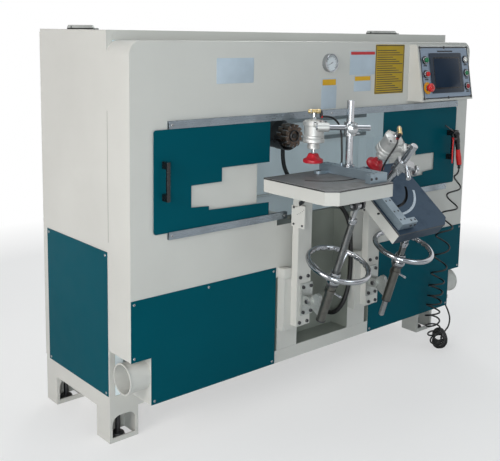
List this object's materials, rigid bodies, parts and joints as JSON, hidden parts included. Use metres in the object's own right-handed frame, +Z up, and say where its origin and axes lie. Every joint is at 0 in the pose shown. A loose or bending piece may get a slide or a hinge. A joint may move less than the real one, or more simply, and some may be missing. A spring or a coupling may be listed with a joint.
{
  "type": "cnc tenoning machine",
  "caption": "Floor-standing tenoning machine: steel cabinet with a front work opening, sliding doors, tilting clamp tables on screws, a spindle unit, a control box and an air gun.",
  "frame": {"origin": "on the floor under the centre of the bounding box, measured without the hoses", "axes": "+X to the right along the front, +Y from the front panel to the back, +Z up"},
  "size_m": [2.019, 1.1216, 1.598],
  "materials": {
    "cream_paint": "powder coat",
    "cream_shade_paint": "powder coat",
    "teal_paint": "powder coat",
    "bare_steel": "ground",
    "dark_steel": "oiled",
    "cast_table": "ground",
    "chrome": "polished",
    "aluminium": "satin",
    "brass": "satin",
    "motor_black": "satin",
    "black_plastic": "moulded",
    "red_pad": "satin",
    "red_plastic": "moulded",
    "green_plastic": "moulded",
    "lamp_white": "moulded",
    "plate_grey": "brushed",
    "screen_glass": "glossy",
    "hose_rubber": "matt",
    "air_hose_plastic": "smooth"
  },
  "bodies": {
    "root": {"base_frame": "cream_paint", "levelling_feet": "dark_steel", "inner_frame": "cream_paint", "left_side_panel": "cream_paint", "right_side_panel": "cream_paint", "top_cover": "cream_paint", "rear_cover": "cream_paint", "front_shell": "cream_shade_paint", "dust_ports": "aluminium", "lower_front_covers": "teal_paint", "side_lower_covers": "teal_paint", "panel_screws": "bare_steel", "upper_rail": "aluminium", "lower_rails": "aluminium", "lifting_brackets": "cream_paint", "control_box": "cream_paint", "control_faceplate": "plate_grey", "touch_screen": "screen_glass", "indicator_lamps": "lamp_white", "pressure_gauge": "chrome", "x_rails": "bare_steel", "left_post": "cream_paint", "right_post": "cream_paint", "feed_hose": "hose_rubber", "air_hose": "air_hose_plastic"},
    "left_door": {"left_door": "teal_paint"},
    "right_door": {"right_door": "teal_paint", "air_gun": "black_plastic"},
    "gun_trigger": {"gun_trigger": "chrome"},
    "x_carriage": {"x_carriage": "aluminium"},
    "z_slide": {"z_slide": "aluminium", "spindle_motor": "motor_black"},
    "cutter": {"cutter_head": "bare_steel"},
    "start_button": {"start_button": "green_plastic"},
    "stop_button": {"stop_button": "red_plastic"},
    "emergency_stop": {"emergency_stop": "red_plastic"},
    "left_table": {"left_table": "cast_table"},
    "left_fence": {"left_fence": "bare_steel", "left_clamp_column": "chrome"},
    "left_collar": {"left_clamp_collar": "dark_steel"},
    "left_clamp_head": {"left_clamp_head": "dark_steel"},
    "left_clamp_arm": {"left_clamp_bar": "chrome", "left_clamp_cylinder": "aluminium", "left_clamp_hose": "hose_rubber"},
    "left_pad": {"left_pressure_pad": "red_pad"},
    "left_strut": {"left_strut_tube": "bare_steel"},
    "left_wheel": {"left_handwheel": "chrome"},
    "left_screw": {"left_tilt_screw": "bare_steel"},
    "right_table": {"right_table": "cast_table"},
    "right_fence": {"right_fence": "bare_steel", "right_clamp_column": "chrome"},
    "right_collar": {"right_clamp_collar": "dark_steel"},
    "right_clamp_head": {"right_clamp_head": "dark_steel"},
    "right_clamp_arm": {"right_clamp_bar": "chrome", "right_clamp_cylinder": "aluminium", "right_clamp_hose": "hose_rubber"},
    "right_pad": {"right_pressure_pad": "red_pad"},
    "right_strut": {"right_strut_tube": "bare_steel"},
    "right_wheel": {"right_handwheel": "chrome"},
    "right_screw": {"right_tilt_screw": "bare_steel"}
  },
  "joints": [
    {"name": "left_door_slide", "type": "slide", "parent": "root", "child": "left_door", "axis": [1, 0, 0], "range_m": [0, 0.35]},
    {"name": "right_door_slide", "type": "slide", "parent": "root", "child": "right_door", "axis": [-1, 0, 0], "range_m": [0, 0.35]},
    {"name": "trigger_squeeze", "type": "hinge", "parent": "right_door", "child": "gun_trigger", "pos_m": [0.815, -0.208, 1.077], "axis": [0, -1, 0], "range_deg": [0, 3], "stiffness_Nm_per_rad": 0.6},
    {"name": "carriage_travel", "type": "slide", "parent": "root", "child": "x_carriage", "axis": [1, 0, 0], "range_m": [-0.188, 0.432]},
    {"name": "height_feed", "type": "slide", "parent": "x_carriage", "child": "z_slide", "axis": [0, 0, 1], "range_m": [-0.1, 0.04]},
    {"name": "cutter_spin", "type": "hinge", "parent": "z_slide", "child": "cutter", "pos_m": [-0.153, -0.072, 1.147], "axis": [0, 1, 0], "continuous": true},
    {"name": "start_button_press", "type": "slide", "parent": "root", "child": "start_button", "axis": [0, 0.9836, -0.1802], "range_m": [0, 0.005], "stiffness_N_per_m": 500, "springref_m": -0.003},
    {"name": "stop_button_press", "type": "slide", "parent": "root", "child": "stop_button", "axis": [0, 0.9836, -0.1802], "range_m": [0, 0.005], "stiffness_N_per_m": 500, "springref_m": -0.003},
    {"name": "emergency_stop_press", "type": "slide", "parent": "root", "child": "emergency_stop", "axis": [0, 0.9836, -0.1802], "range_m": [0, 0.005], "stiffness_N_per_m": 500, "springref_m": -0.003},
    {"name": "left_table_tilt", "type": "hinge", "parent": "root", "child": "left_table", "pos_m": [-0.205, -0.204, 0.937], "axis": [1, 0, 0], "range_deg": [0, 38]},
    {"name": "left_fence_swing", "type": "hinge", "parent": "left_table", "child": "left_fence", "pos_m": [-0.165, -0.248, 1.01], "axis": [0, 0, 1], "range_deg": [-45, 0]},
    {"name": "left_clamp_height", "type": "slide", "parent": "left_fence", "child": "left_collar", "axis": [0, 0, 1], "range_m": [0, 0.06]},
    {"name": "left_clamp_swivel", "type": "hinge", "parent": "left_collar", "child": "left_clamp_head", "pos_m": [-0.1, -0.353, 1.209], "axis": [0, 0, 1], "range_deg": [-8, 35]},
    {"name": "left_clamp_reach", "type": "slide", "parent": "left_clamp_head", "child": "left_clamp_arm", "axis": [-0.7826, 0.6225, 0], "range_m": [-0.04, 0.012]},
    {"name": "left_pad_stroke", "type": "slide", "parent": "left_clamp_arm", "child": "left_pad", "axis": [0, 0, -1], "range_m": [0, 0.03], "stiffness_N_per_m": 900, "springref_m": -0.02},
    {"name": "left_strut_swing", "type": "hinge", "parent": "root", "child": "left_strut", "pos_m": [-0.193, -0.2515, 0.475], "axis": [1, 0, 0], "range_deg": [-2.52, 1]},
    {"name": "left_screw_travel", "type": "slide", "parent": "left_strut", "child": "left_screw", "axis": [0, -0.3296, 0.9441], "range_m": [-0.1902, 0.002]},
    {"name": "left_wheel_spin", "type": "hinge", "parent": "left_strut", "child": "left_wheel", "pos_m": [-0.193, -0.39455, 0.64961], "axis": [0, -0.3296, 0.9441], "range_deg": [-11.46, 6786.76]},
    {"name": "right_table_tilt", "type": "hinge", "parent": "root", "child": "right_table", "pos_m": [0.232, -0.204, 0.937], "axis": [1, 0, 0], "range_deg": [-38, 0]},
    {"name": "right_fence_swing", "type": "hinge", "parent": "right_table", "child": "right_fence", "pos_m": [0.127, -0.28362, 0.96744], "axis": [0, -0.6157, 0.788], "range_deg": [0, 45]},
    {"name": "right_clamp_height", "type": "slide", "parent": "right_fence", "child": "right_collar", "axis": [0, -0.6157, 0.788], "range_m": [0, 0.06]},
    {"name": "right_clamp_swivel", "type": "hinge", "parent": "right_collar", "child": "right_clamp_head", "pos_m": [0.062, -0.48887, 1.0596], "axis": [0, -0.6157, 0.788], "range_deg": [-35, 8]},
    {"name": "right_clamp_reach", "type": "slide", "parent": "right_clamp_head", "child": "right_clamp_arm", "axis": [0.6225, 0.6167, 0.4818], "range_m": [-0.04, 0.012]},
    {"name": "right_pad_stroke", "type": "slide", "parent": "right_clamp_arm", "child": "right_pad", "axis": [0, 0.6157, -0.788], "range_m": [0, 0.03], "stiffness_N_per_m": 900, "springref_m": -0.02},
    {"name": "right_strut_swing", "type": "hinge", "parent": "root", "child": "right_strut", "pos_m": [0.22, -0.2515, 0.475], "axis": [1, 0, 0], "range_deg": [-1, 2.52]},
    {"name": "right_screw_travel", "type": "slide", "parent": "right_strut", "child": "right_screw", "axis": [0, -0.3045, 0.9525], "range_m": [-0.002, 0.1902]},
    {"name": "right_wheel_spin", "type": "hinge", "parent": "right_strut", "child": "right_wheel", "pos_m": [0.22, -0.38988, 0.65333], "axis": [0, -0.3045, 0.9525], "range_deg": [-6786.76, 11.46]}
  ],
  "couplings": [
    {"joint": "left_strut_swing", "follows": "left_table_tilt", "ratio": -0.039889},
    {"joint": "left_screw_travel", "follows": "left_table_tilt", "m_per_rad": -0.28377},
    {"joint": "left_wheel_spin", "follows": "left_table_tilt", "ratio": 178.3},
    {"joint": "right_strut_swing", "follows": "right_table_tilt", "ratio": -0.039889},
    {"joint": "right_screw_travel", "follows": "right_table_tilt", "m_per_rad": -0.28377},
    {"joint": "right_wheel_spin", "follows": "right_table_tilt", "ratio": 178.3}
  ]
}
